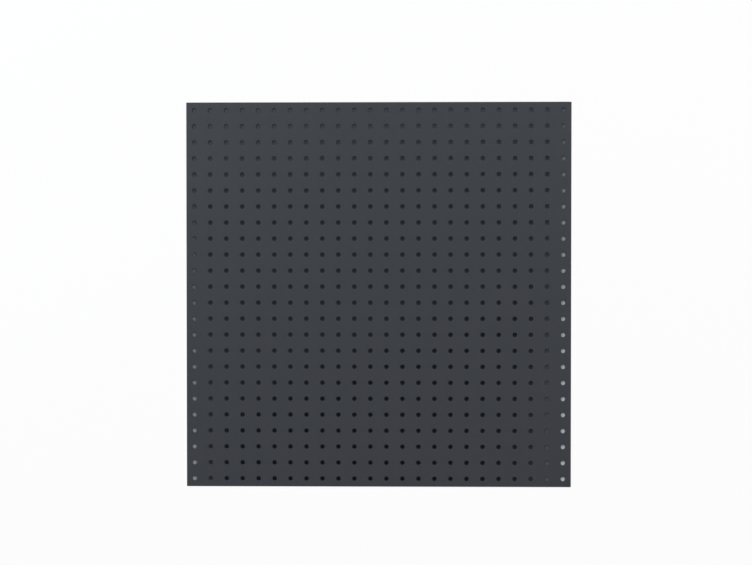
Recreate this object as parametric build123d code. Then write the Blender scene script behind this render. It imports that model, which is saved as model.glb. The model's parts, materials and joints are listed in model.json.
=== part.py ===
from build123d import *
import os

# Perforated metal sheet: one flat square sheet, punched all over with round
# holes on a square grid. The origin is on the underside, at the middle of the
# sheet, and the hole grid is centred on it. Sizes are in millimetres.

# Hole grid
PITCH = 25.4                # spacing of the hole centres, along X and along Y
COLUMNS = 24                # holes along X
ROWS = 24                   # holes along Y
HOLE_DIAMETER = 7.14        # takes a 6.35 mm peg or an M6 screw

# Sheet
EDGE_MARGIN = 12.7          # from the outermost hole centres to the sheet's edge
THICKNESS = 1.52            # 16 gauge
CORNER_RADIUS = 1.0         # the four corners are dressed, not left sharp


def grid_span(count):
    """Distance between the first and the last hole centre of a row."""
    return (count - 1) * PITCH


def sheet_outline():
    """The blank, a little larger all round than the hole grid."""
    width = grid_span(COLUMNS) + 2 * EDGE_MARGIN
    depth = grid_span(ROWS) + 2 * EDGE_MARGIN
    return RectangleRounded(width, depth, CORNER_RADIUS)


def punched_holes():
    """Every hole of the grid, as flat discs."""
    return GridLocations(PITCH, PITCH, COLUMNS, ROWS) * Circle(HOLE_DIAMETER / 2)


def perforated_sheet():
    """The blank with its holes, one solid lying on Z = 0."""
    return extrude(sheet_outline() - punched_holes(), amount=THICKNESS)


os.makedirs("parts", exist_ok=True)
export_step(perforated_sheet(), "parts/perforated_sheet.step")
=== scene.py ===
"""A painted perforated metal sheet, lying on a pale studio floor.

Laid out as a Blender add-on: one operator punches and paints the sheet and one sets the stage.
Lengths are in metres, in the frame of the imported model: the sheet's underside is at Z = 0.
"""

import json
import math

import bmesh
import bpy
from bpy.props import FloatProperty, FloatVectorProperty, IntProperty, PointerProperty
from bpy.types import Operator, Panel, PropertyGroup
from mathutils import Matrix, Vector


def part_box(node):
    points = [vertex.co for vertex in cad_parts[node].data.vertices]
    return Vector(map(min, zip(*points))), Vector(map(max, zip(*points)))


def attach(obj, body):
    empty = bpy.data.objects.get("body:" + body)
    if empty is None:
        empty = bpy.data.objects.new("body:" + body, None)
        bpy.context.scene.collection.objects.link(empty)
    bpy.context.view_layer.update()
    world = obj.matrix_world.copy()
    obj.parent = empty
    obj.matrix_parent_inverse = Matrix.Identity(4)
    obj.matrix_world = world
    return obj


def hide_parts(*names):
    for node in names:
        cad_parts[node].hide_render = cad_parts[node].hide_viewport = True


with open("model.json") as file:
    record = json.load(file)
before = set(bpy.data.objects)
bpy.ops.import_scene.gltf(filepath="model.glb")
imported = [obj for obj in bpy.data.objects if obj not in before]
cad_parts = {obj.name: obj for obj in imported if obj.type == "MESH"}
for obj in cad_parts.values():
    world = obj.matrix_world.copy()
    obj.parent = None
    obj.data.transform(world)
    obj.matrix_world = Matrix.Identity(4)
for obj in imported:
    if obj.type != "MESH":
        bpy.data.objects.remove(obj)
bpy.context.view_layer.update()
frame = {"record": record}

bl_info = {
    "name": "Perforated Metal Sheet",
    "version": (1, 0, 0),
    "blender": (4, 5, 0),
    "location": "View3D > Sidebar > Sheet",
    "description": "Builds a painted perforated metal sheet and its studio stage",
    "category": "Object",
}

NODE = "perforated_sheet"

# ---------------------------------------------------------------------------
# Sizes that the frame gives
# ---------------------------------------------------------------------------

SHEET_LOW, SHEET_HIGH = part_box(NODE)
MOUNTS = {mount["name"]: mount for mount in frame["record"]["mounts"]}
PITCH = (Vector(MOUNTS["peg_hole_left_upper"]["pos_m"])
         - Vector(MOUNTS["peg_hole_left_lower"]["pos_m"])).length
HOLE_RADIUS = MOUNTS["peg_hole_left_upper"]["dims"]["r_mm"] / 1000
GRID_SPAN = MOUNTS["corner_screw_holes"]["dims"]["spacing_x_mm"] / 1000
HOLES_PER_ROW = round(GRID_SPAN / PITCH) + 1
HALF_SIDE = (SHEET_HIGH.x - SHEET_LOW.x) / 2
THICKNESS = SHEET_HIGH.z - SHEET_LOW.z

NEAR = 1e-5                  # two places closer than this are the same place


class SheetSettings(PropertyGroup):
    hole_sides: IntProperty(
        name="Hole sides", description="Straight sides that make up one round hole",
        default=20, min=8, max=64)
    rim_slope: FloatProperty(
        name="Rim slope", description="Width and depth of the slope round each hole and the outline",
        default=0.0003, unit="LENGTH")
    corner_radius: FloatProperty(
        name="Corner radius", description="Rounding of the sheet's four corners",
        default=0.001, unit="LENGTH")
    paint: FloatVectorProperty(
        name="Paint", description="Colour of the powder coat",
        default=(0.038, 0.042, 0.050), size=3, min=0, max=1, subtype="COLOR")
    roughness: FloatProperty(
        name="Roughness", description="How matt the powder coat is",
        default=0.55, min=0, max=1, subtype="FACTOR")
    grain_height: FloatProperty(
        name="Grain height", description="Depth of the powder coat's fine texture",
        default=0.00002, unit="LENGTH")


class StageSettings(PropertyGroup):
    floor_radius: FloatProperty(
        name="Floor radius", description="From the middle of the floor to the backdrop",
        default=5.0, unit="LENGTH")
    backdrop_height: FloatProperty(
        name="Backdrop height", description="Height of the backdrop round the floor",
        default=3.0, unit="LENGTH")
    floor_colour: FloatVectorProperty(
        name="Floor", description="Colour of the floor and the backdrop",
        default=(0.85, 0.85, 0.85), size=3, min=0, max=1, subtype="COLOR")
    key_power: FloatProperty(
        name="Key light", description="Power of the soft light from the upper left",
        default=32.0, unit="POWER")
    fill_power: FloatProperty(
        name="Fill light", description="Power of the soft light from the upper right",
        default=22.0, unit="POWER")
    sky: FloatProperty(
        name="Sky", description="Strength of the even light from all round",
        default=0.53, min=0)
    camera_height: FloatProperty(
        name="Camera height", description="Height of the camera above the floor",
        default=1.6, unit="LENGTH")
    lens: FloatProperty(
        name="Lens", description="Focal length of the camera, in millimetres",
        default=48.3, unit="CAMERA")


# ---------------------------------------------------------------------------
# Helpers
# ---------------------------------------------------------------------------

def start_piece():
    """Deselect everything, so that the operators that follow act on the new piece alone."""
    bpy.ops.object.select_all(action="DESELECT")


def finish_piece(piece, name):
    """Name the piece and bring its object to the origin, with its place in its mesh."""
    bpy.ops.object.transform_apply(location=True, rotation=True, scale=True)
    piece.name = name
    piece.data.name = name


def select_edges(piece, wanted):
    """In edit mode, select the edges that wanted(one end, other end) says yes to."""
    place = piece.matrix_world
    mesh = bmesh.from_edit_mesh(piece.data)
    for edge in mesh.edges:
        first, second = (place @ corner.co for corner in edge.verts)
        edge.select_set(wanted(first, second))
    mesh.select_flush(True)
    bmesh.update_edit_mesh(piece.data)


def select_faces(piece, wanted):
    """In edit mode, select the faces that wanted(face) says yes to."""
    mesh = bmesh.from_edit_mesh(piece.data)
    for face in mesh.faces:
        face.select_set(wanted(face))
    bmesh.update_edit_mesh(piece.data)


def repeat(piece, count, step):
    """Copy the piece in a row, count times in all, each copy joined to the one before."""
    array = piece.modifiers.new("repeat", "ARRAY")
    array.count = count
    array.use_relative_offset = False
    array.use_constant_offset = True
    array.constant_offset_displace = step
    array.use_merge_vertices = True
    array.merge_threshold = NEAR
    bpy.ops.object.modifier_apply(modifier=array.name)


def new_material(name):
    """An empty node material, and its output node."""
    material = bpy.data.materials.new(name)
    material.use_nodes = True
    material.node_tree.nodes.clear()
    return material, material.node_tree.nodes.new("ShaderNodeOutputMaterial")


def feed(tree, socket, value):
    """Link an output to a socket, or write a plain value on it."""
    if isinstance(value, bpy.types.NodeSocket):
        tree.links.new(value, socket)
    else:
        socket.default_value = value


def maths(tree, operation, first, second=0.0):
    """One step of arithmetic."""
    node = tree.nodes.new("ShaderNodeMath")
    node.operation = operation
    feed(tree, node.inputs[0], first)
    feed(tree, node.inputs[1], second)
    return node.outputs[0]


def fade(tree, value, start, end, low, high):
    """Turn smoothly from low to high as value goes from start to end."""
    node = tree.nodes.new("ShaderNodeMapRange")
    node.interpolation_type = "SMOOTHSTEP"
    for name, entry in (("Value", value), ("From Min", start), ("From Max", end),
                        ("To Min", low), ("To Max", high)):
        feed(tree, node.inputs[name], entry)
    return node.outputs["Result"]


def mix_shaders(tree, share, first, second):
    """Blend two shaders, of which share is the second one's part."""
    node = tree.nodes.new("ShaderNodeMixShader")
    for socket, value in zip(node.inputs, (share, first, second)):
        feed(tree, socket, value)
    return node.outputs[0]


def noise(tree, place, scale, detail=2.0):
    """A noise pattern with scale features to the metre."""
    node = tree.nodes.new("ShaderNodeTexNoise")
    node.inputs["Scale"].default_value = scale
    node.inputs["Detail"].default_value = detail
    tree.links.new(place, node.inputs["Vector"])
    return node.outputs["Fac"]


# ---------------------------------------------------------------------------
# The sheet
# ---------------------------------------------------------------------------

CELL_SIDE_CUTS = 1           # points between the corners on each side of a cell
CORNER_SEGMENTS = 4          # faces that round one corner of the outline
FRONT_NORMAL = 0.5           # the normals of the front rise more than this
CRISP_ANGLE = math.radians(60)         # an edge that turns by more stays crisp
LARGEST_RULES = 100          # the largest face at a point sets its normal


def punch_cell(hole_sides, height):
    """One flat square of the sheet with its hole, at the first place of the grid."""
    start_piece()
    first_hole = (-GRID_SPAN / 2, -GRID_SPAN / 2, height)
    bpy.ops.mesh.primitive_plane_add(size=PITCH, location=first_hole)
    cell = bpy.context.object
    bpy.ops.object.mode_set(mode="EDIT")
    bpy.ops.mesh.delete(type="ONLY_FACE")
    bpy.ops.mesh.select_all(action="SELECT")
    bpy.ops.mesh.subdivide(number_cuts=CELL_SIDE_CUTS)
    bpy.ops.mesh.primitive_circle_add(vertices=hole_sides, radius=HOLE_RADIUS, location=first_hole)
    bpy.ops.mesh.select_all(action="SELECT")
    bpy.ops.mesh.bridge_edge_loops()
    bpy.ops.object.mode_set(mode="OBJECT")
    return cell


def thicken(sheet, depth):
    """Give the flat pattern its depth, down to the underside, which closes it to a solid.

    Solidify puts its faces in the same order on every run, which an extrusion doesn't.
    """
    wall = sheet.modifiers.new("wall", "SOLIDIFY")
    wall.thickness = depth
    wall.offset = -1
    bpy.ops.object.modifier_apply(modifier=wall.name)


def at_corner(point):
    """Whether a point is on one of the sheet's four upright corner lines."""
    return min(abs(point.x), abs(point.y)) > HALF_SIDE - NEAR


def dress_corners(sheet, radius):
    """Round the four corners of the outline."""
    bpy.ops.object.mode_set(mode="EDIT")
    bpy.ops.mesh.select_mode(type="EDGE")
    bpy.ops.mesh.select_all(action="DESELECT")
    select_edges(sheet, lambda first, second: at_corner(first) and at_corner(second))
    bpy.ops.mesh.bevel(offset=radius, segments=CORNER_SEGMENTS, affect="EDGES")
    bpy.ops.object.mode_set(mode="OBJECT")


def draw_in_rims(sheet, depth):
    """Raise the front inside a narrow slope along the outline and round every hole.

    The slope is where the punch and the shears drew the metal in. Normals weighted by area
    keep the faces flat and make the slope look round. The edges on the back stay crisp.
    """
    bpy.ops.object.mode_set(mode="EDIT")
    bpy.ops.mesh.select_mode(type="FACE")
    bpy.ops.mesh.select_all(action="DESELECT")
    select_faces(sheet, lambda face: face.normal.z > FRONT_NORMAL)
    bpy.ops.mesh.inset(thickness=depth, depth=depth)
    bpy.ops.object.mode_set(mode="OBJECT")
    bpy.ops.object.shade_smooth_by_angle(angle=CRISP_ANGLE)
    soften = sheet.modifiers.new("soften", "WEIGHTED_NORMAL")
    soften.weight = LARGEST_RULES
    soften.keep_sharp = True
    bpy.ops.object.modifier_apply(modifier=soften.name)


CLOUD_SCALE, CLOUD_DETAIL = 9.0, 3.0   # hand-sized, faint clouds in the colour
CLOUD_DEPTH = 0.03                     # how far they lighten and darken it
GLOSS_SCALE = 60.0                     # finger-wide patches of more and less gloss
GLOSS_DEPTH = 0.015                    # how far they raise and lower the roughness
NOISE_LOW, NOISE_HIGH = 0.3, 0.7       # nearly all of a noise pattern lies between these
COARSE_GRAIN, FINE_GRAIN = 700.0, 2500.0


def powder_coat(settings):
    """Matt powder coat: an even dark colour with a very fine grain."""
    material, output = new_material("anthracite_powder_coat")
    tree = material.node_tree
    shader = tree.nodes.new("ShaderNodeBsdfPrincipled")
    tree.links.new(shader.outputs["BSDF"], output.inputs["Surface"])
    shader.inputs["IOR"].default_value = 1.5
    shader.inputs["Specular IOR Level"].default_value = 0.25
    place = tree.nodes.new("ShaderNodeTexCoord").outputs["Object"]

    cloud = noise(tree, place, CLOUD_SCALE, CLOUD_DETAIL)
    shade = tree.nodes.new("ShaderNodeMix")
    shade.data_type = "RGBA"
    tree.links.new(cloud, shade.inputs["Factor"])
    for name, level in (("A", 1 - CLOUD_DEPTH), ("B", 1 + CLOUD_DEPTH)):
        shade.inputs[name].default_value = [level * tone for tone in settings.paint] + [1]
    tree.links.new(shade.outputs["Result"], shader.inputs["Base Color"])

    rough = fade(tree, noise(tree, place, GLOSS_SCALE), NOISE_LOW, NOISE_HIGH,
                 settings.roughness - GLOSS_DEPTH, settings.roughness + GLOSS_DEPTH)
    tree.links.new(rough, shader.inputs["Roughness"])

    grain = maths(tree, "ADD", noise(tree, place, COARSE_GRAIN), noise(tree, place, FINE_GRAIN))
    bump = tree.nodes.new("ShaderNodeBump")
    bump.inputs["Strength"].default_value = 1.0
    bump.inputs["Distance"].default_value = settings.grain_height
    tree.links.new(grain, bump.inputs["Height"])
    tree.links.new(bump.outputs["Normal"], shader.inputs["Normal"])
    return material


class SHEET_OT_punch(Operator):
    """Punch, trim and paint the sheet, in place of the plain CAD solid"""
    bl_idname = "sheet.punch"
    bl_label = "Punch the sheet"

    def execute(self, context):
        settings = context.scene.sheet_settings
        rim = settings.rim_slope
        sheet = punch_cell(settings.hole_sides, SHEET_HIGH.z - rim)
        repeat(sheet, HOLES_PER_ROW, (PITCH, 0, 0))
        repeat(sheet, HOLES_PER_ROW, (0, PITCH, 0))
        thicken(sheet, THICKNESS - rim)
        dress_corners(sheet, settings.corner_radius)
        draw_in_rims(sheet, rim)
        finish_piece(sheet, "painted_perforated_sheet")
        sheet.data.materials.append(powder_coat(settings))
        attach(sheet, "root")
        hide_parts(NODE)
        return {"FINISHED"}


# ---------------------------------------------------------------------------
# The stage
# ---------------------------------------------------------------------------

FLOOR_DROP = 0.0002          # the floor lies this far under the sheet, so that they don't touch
FLOOR_SIDES = 96
COVE_RADIUS, COVE_SEGMENTS = 1.2, 12   # where the floor turns up into the backdrop
WHITENESS = 0.9              # how much of the open floor is plain white to the eye

# Painted shade and painted light: under the sheet the floor's colour is darkened, and lightened at
# the sides, to stand in for them. The lamps still light this floor and cast the holes' real rim
# shadows on it.
# The floor under the sheet. Heights on it run from -1 at the sheet's foot to 1 at its head.
SHADE_INSET = 0.001          # the painted shade ends this far inside the sheet's edge
SHADE_TINT = (0.89, 1.00, 1.21)
SHADE_LEVEL, SHADE_RISE = 0.014, 0.0046          # at mid height, and the gain from there to the head
# Two more gains: how much, between which heights, and how steeply their lines slant.
BAND_GAIN, BAND_START, BAND_END, BAND_SLANT = 0.011, -0.47, -0.08, 0.38
HEAD_GAIN, HEAD_START, HEAD_END, HEAD_SLANT = 0.088, 0.43, 1.70, 0.10

# The painted light, a lighter floor colour under the sheet's two sides: its level at the edge, how
# far in it reaches at mid height, and how much further it reaches at the foot.
GLOW_TINT = (0.97, 1.00, 1.03)
GLOW_FALL = 3.0              # how steeply it falls off past its reach
SHORTEST_REACH = 0.0005      # keeps the reach above zero
RIGHT_GLOW, RIGHT_REACH, RIGHT_GROWTH = 0.63, 0.0128, 0.0085
LEFT_GLOW, LEFT_REACH, LEFT_GROWTH = 0.52, 0.0074, 0.0063

LAMP_SIZE = 0.9              # each side of a square lamp
KEY_PLACE, KEY_TINT = (-1.7, 1.3, 1.45), (0.90, 1.00, 1.07)
FILL_PLACE, FILL_TINT = (1.7, 1.3, 1.45), (0.95, 1.00, 1.03)
SKY_TINT = (1.05, 1.00, 0.96)

CAMERA_X, CAMERA_Y = 0.0171, 0.0370    # a little off the sheet's middle, to the right and up
CAMERA_NOD, CAMERA_TURN = math.radians(-0.629), math.radians(0.75)   # about X and about Y
SENSOR_WIDTH = 36.0


def tinted(tree, tint, level):
    """A tint made darker or lighter by a level."""
    node = tree.nodes.new("ShaderNodeVectorMath")
    node.operation = "SCALE"
    node.inputs["Vector"].default_value = tint
    tree.links.new(level, node.inputs["Scale"])
    return node.outputs["Vector"]


def painted_side_glow(tree, depth, up, level, reach, growth):
    """Painted light: a lighter floor colour at one side of the sheet, reaching further in towards
    the foot.
    """
    reach = maths(tree, "SUBTRACT", reach, maths(tree, "MULTIPLY", up, growth))
    depth = maths(tree, "DIVIDE", depth, maths(tree, "MAXIMUM", reach, SHORTEST_REACH))
    fall = maths(tree, "ADD", 1.0, maths(tree, "POWER", depth, GLOW_FALL))
    return maths(tree, "DIVIDE", level, fall)


def painted_slanted_rise(tree, across, up, slant, start, end, gain):
    """Painted light: floor colour gained from one height to another, along lines that slant over the
    sheet.
    """
    height = maths(tree, "SUBTRACT", up, maths(tree, "MULTIPLY", across, slant))
    return fade(tree, height, start, end, 0.0, gain)


def painted_sheet_shade(tree, across, up):
    """The painted shade behind the sheet, as floor colour: darkest at the foot, with a slanting band
    and a lighter head.

    across and up run from -1 to 1 over the sheet.
    """
    band = painted_slanted_rise(tree, across, up, BAND_SLANT, BAND_START, BAND_END, BAND_GAIN)
    head = painted_slanted_rise(tree, across, up, HEAD_SLANT, HEAD_START, HEAD_END, HEAD_GAIN)
    foot = maths(tree, "ADD", SHADE_LEVEL, maths(tree, "MULTIPLY", up, SHADE_RISE))
    return maths(tree, "ADD", foot, maths(tree, "ADD", band, head))


def floor_with_painted_shade(tree, x, y):
    """The floor under the sheet: painted shade in its colour, with painted light at both sides."""
    across = maths(tree, "DIVIDE", x, HALF_SIDE)
    up = maths(tree, "DIVIDE", y, HALF_SIDE)
    left = painted_side_glow(tree, maths(tree, "ADD", HALF_SIDE, x), up,
                     LEFT_GLOW, LEFT_REACH, LEFT_GROWTH)
    right = painted_side_glow(tree, maths(tree, "SUBTRACT", HALF_SIDE, x), up,
                      RIGHT_GLOW, RIGHT_REACH, RIGHT_GROWTH)
    colour = tree.nodes.new("ShaderNodeVectorMath")
    feed(tree, colour.inputs[0], tinted(tree, SHADE_TINT, painted_sheet_shade(tree, across, up)))
    feed(tree, colour.inputs[1], tinted(tree, GLOW_TINT, maths(tree, "ADD", left, right)))
    shade = tree.nodes.new("ShaderNodeBsdfDiffuse")
    feed(tree, shade.inputs["Color"], colour.outputs["Vector"])
    return shade.outputs["BSDF"]


def open_floor(tree, colour):
    """The floor round the sheet: lit by the lamps, and white to the eye and in reflections."""
    lit = tree.nodes.new("ShaderNodeBsdfDiffuse")
    lit.inputs["Color"].default_value = [*colour, 1]
    white = tree.nodes.new("ShaderNodeEmission")
    rays = tree.nodes.new("ShaderNodeLightPath")
    seen = maths(tree, "MAXIMUM", rays.outputs["Is Camera Ray"], rays.outputs["Is Glossy Ray"])
    seen = maths(tree, "MAXIMUM", seen, rays.outputs["Is Transmission Ray"])
    share = maths(tree, "MULTIPLY", seen, WHITENESS)
    return mix_shaders(tree, share, lit.outputs["BSDF"], white.outputs["Emission"])


def floor_material(settings):
    """Pale floor and backdrop, with painted shade in the floor's colour where the sheet covers it.
    """
    material, output = new_material("pale_floor")
    tree = material.node_tree
    parts = tree.nodes.new("ShaderNodeSeparateXYZ")
    feed(tree, parts.inputs["Vector"], tree.nodes.new("ShaderNodeTexCoord").outputs["Object"])
    x, y = parts.outputs["X"], parts.outputs["Y"]
    outward = maths(tree, "MAXIMUM", maths(tree, "ABSOLUTE", x), maths(tree, "ABSOLUTE", y))
    # Inside this square the floor takes the painted shade and painted light colour.
    covered = maths(tree, "LESS_THAN", outward, HALF_SIDE - SHADE_INSET)
    whole = mix_shaders(
        tree, covered, open_floor(tree, settings.floor_colour), floor_with_painted_shade(tree, x, y))
    feed(tree, output.inputs["Surface"], whole)
    return material


def lay_floor(settings):
    """A round floor that turns up into a backdrop."""
    start_piece()
    bpy.ops.mesh.primitive_circle_add(
        vertices=FLOOR_SIDES, radius=settings.floor_radius, fill_type="NGON",
        location=(0, 0, -FLOOR_DROP))
    floor = bpy.context.object
    bpy.ops.object.mode_set(mode="EDIT")
    bpy.ops.mesh.select_mode(type="EDGE")
    bpy.ops.mesh.select_all(action="SELECT")
    bpy.ops.mesh.extrude_edges_move(
        TRANSFORM_OT_translate={"value": (0, 0, settings.backdrop_height)})
    bpy.ops.mesh.select_all(action="DESELECT")
    select_edges(floor, lambda first, second: first.z < NEAR and second.z < NEAR)
    bpy.ops.mesh.bevel(offset=COVE_RADIUS, segments=COVE_SEGMENTS, affect="EDGES")
    bpy.ops.object.mode_set(mode="OBJECT")
    bpy.ops.object.shade_smooth()
    finish_piece(floor, "floor")
    floor.data.materials.append(floor_material(settings))


def hang_lamp(name, place, power, tint):
    """A square soft lamp, aimed at the middle of the sheet."""
    bpy.ops.object.light_add(type="AREA", location=place)
    lamp = bpy.context.object
    lamp.name = name
    lamp.data.shape = "SQUARE"
    lamp.data.size = LAMP_SIZE
    lamp.data.energy = power
    lamp.data.color = tint
    lamp.rotation_mode = "QUATERNION"
    lamp.rotation_quaternion = Vector(place).to_track_quat("Z", "Y")


def light_sky(strength):
    """Even light from all round, a little warm."""
    world = bpy.data.worlds.new("sky")
    world.use_nodes = True
    background = world.node_tree.nodes["Background"]
    background.inputs["Color"].default_value = [*SKY_TINT, 1]
    background.inputs["Strength"].default_value = strength
    bpy.context.scene.world = world


def set_camera(settings):
    """Look down on the sheet, almost square on, its top edge up."""
    bpy.ops.object.camera_add(
        location=(CAMERA_X, CAMERA_Y, settings.camera_height),
        rotation=(CAMERA_NOD, CAMERA_TURN, 0))
    camera = bpy.context.object
    camera.name = "camera"
    camera.data.lens = settings.lens
    camera.data.sensor_width = SENSOR_WIDTH
    bpy.context.scene.camera = camera


class SHEET_OT_stage(Operator):
    """Set the floor, the lamps and the camera"""
    bl_idname = "sheet.stage"
    bl_label = "Set the stage"

    def execute(self, context):
        settings = context.scene.stage_settings
        lay_floor(settings)
        hang_lamp("key_lamp", KEY_PLACE, settings.key_power, KEY_TINT)
        hang_lamp("fill_lamp", FILL_PLACE, settings.fill_power, FILL_TINT)
        light_sky(settings.sky)
        set_camera(settings)
        context.scene.view_settings.view_transform = "Standard"
        return {"FINISHED"}


# ---------------------------------------------------------------------------
# Panel and registration
# ---------------------------------------------------------------------------

class SHEET_PT_panel(Panel):
    """Sizes and colours of the sheet and its stage"""
    bl_label = "Perforated sheet"
    bl_space_type = "VIEW_3D"
    bl_region_type = "UI"
    bl_category = "Sheet"

    def draw(self, context):
        for settings, operator in ((context.scene.sheet_settings, "sheet.punch"),
                                   (context.scene.stage_settings, "sheet.stage")):
            box = self.layout.box()
            for name in type(settings).__annotations__:
                box.prop(settings, name)
            box.operator(operator)


CLASSES = (SheetSettings, StageSettings, SHEET_OT_punch, SHEET_OT_stage, SHEET_PT_panel)


def register():
    for cls in CLASSES:
        bpy.utils.register_class(cls)
    bpy.types.Scene.sheet_settings = PointerProperty(type=SheetSettings)
    bpy.types.Scene.stage_settings = PointerProperty(type=StageSettings)


def unregister():
    del bpy.types.Scene.stage_settings
    del bpy.types.Scene.sheet_settings
    for cls in reversed(CLASSES):
        bpy.utils.unregister_class(cls)


def main():
    register()
    bpy.ops.sheet.punch()
    bpy.ops.sheet.stage()


if __name__ == "__main__":
    main()
